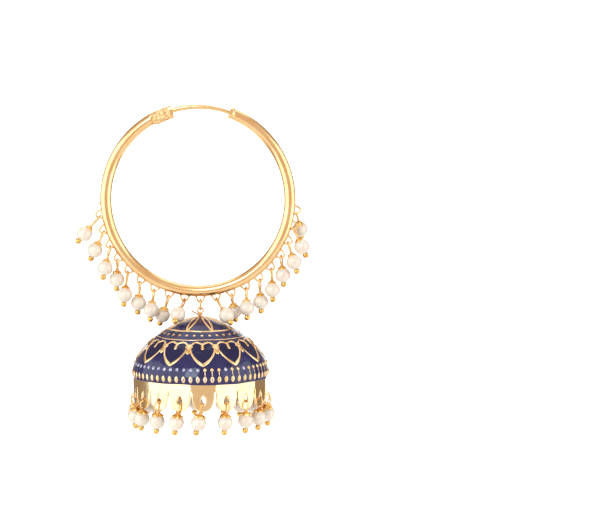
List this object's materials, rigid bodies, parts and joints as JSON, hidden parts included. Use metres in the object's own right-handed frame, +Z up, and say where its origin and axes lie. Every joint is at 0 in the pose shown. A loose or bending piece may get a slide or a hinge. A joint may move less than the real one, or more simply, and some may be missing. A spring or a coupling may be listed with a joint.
{
  "type": "hoop earring",
  "caption": "Gold hoop earring with a hinged ear wire, loops along its lower outside with small pearl drops, and a bell-shaped enamelled dome hung below with pearl drops on its scalloped rim.",
  "frame": {"origin": "the top of the ear wire, on its centreline over the hoop's centre, where it hangs from the ear", "axes": "+Z up along the hanging earring, +X to the viewer's right in the hoop's plane, -Y towards the viewer across the hoop"},
  "size_m": [0.0478, 0.0303, 0.0661],
  "materials": {
    "pale_gold": "polished",
    "gold": "polished",
    "enamel": "glossy enamel over metal",
    "pearl": "pearl lustre"
  },
  "bodies": {
    "hoop": {"hoop": "pale_gold", "hinge_pin": "gold", "hoop_drop_01": "pearl", "hoop_drop_02": "pearl", "hoop_drop_03": "pearl", "hoop_drop_04": "pearl", "hoop_drop_05": "pearl", "hoop_drop_06": "pearl", "hoop_drop_07": "pearl", "hoop_drop_08": "pearl", "hoop_drop_09": "pearl", "hoop_drop_10": "pearl", "hoop_drop_11": "pearl", "hoop_drop_12": "pearl", "hoop_drop_13": "pearl", "hoop_drop_14": "pearl", "hoop_drop_15": "pearl", "hoop_drop_16": "pearl", "hoop_drop_17": "pearl", "hoop_drop_18": "pearl"},
    "ear_wire": {"ear_wire": "pale_gold"},
    "link": {"dome_link": "gold"},
    "dome": {"dome": "enamel", "dome_eye_pin": "gold", "rim_drop_01": "pearl", "rim_drop_02": "pearl", "rim_drop_03": "pearl", "rim_drop_04": "pearl", "rim_drop_05": "pearl", "rim_drop_06": "pearl", "rim_drop_07": "pearl", "rim_drop_08": "pearl", "rim_drop_09": "pearl", "rim_drop_10": "pearl", "rim_drop_11": "pearl", "rim_drop_12": "pearl", "rim_drop_13": "pearl", "rim_drop_14": "pearl", "rim_drop_15": "pearl", "rim_drop_16": "pearl", "rim_drop_17": "pearl", "rim_drop_18": "pearl"}
  },
  "joints": [
    {"name": "ear_wire_hinge", "type": "hinge", "parent": "hoop", "child": "ear_wire", "pos_m": [-0.00709, 0, -0.00138], "axis": [0, -1, 0], "range_deg": [0, 90]},
    {"name": "link_swing", "type": "hinge", "parent": "hoop", "child": "link", "pos_m": [0.00044, 0, -0.04001], "axis": [1, 0, 0], "range_deg": [-2, 12]},
    {"name": "dome_swing", "type": "hinge", "parent": "link", "child": "dome", "pos_m": [0.00043, 0, -0.0416], "axis": [0, 1, 0], "range_deg": [-3, 3]}
  ]
}
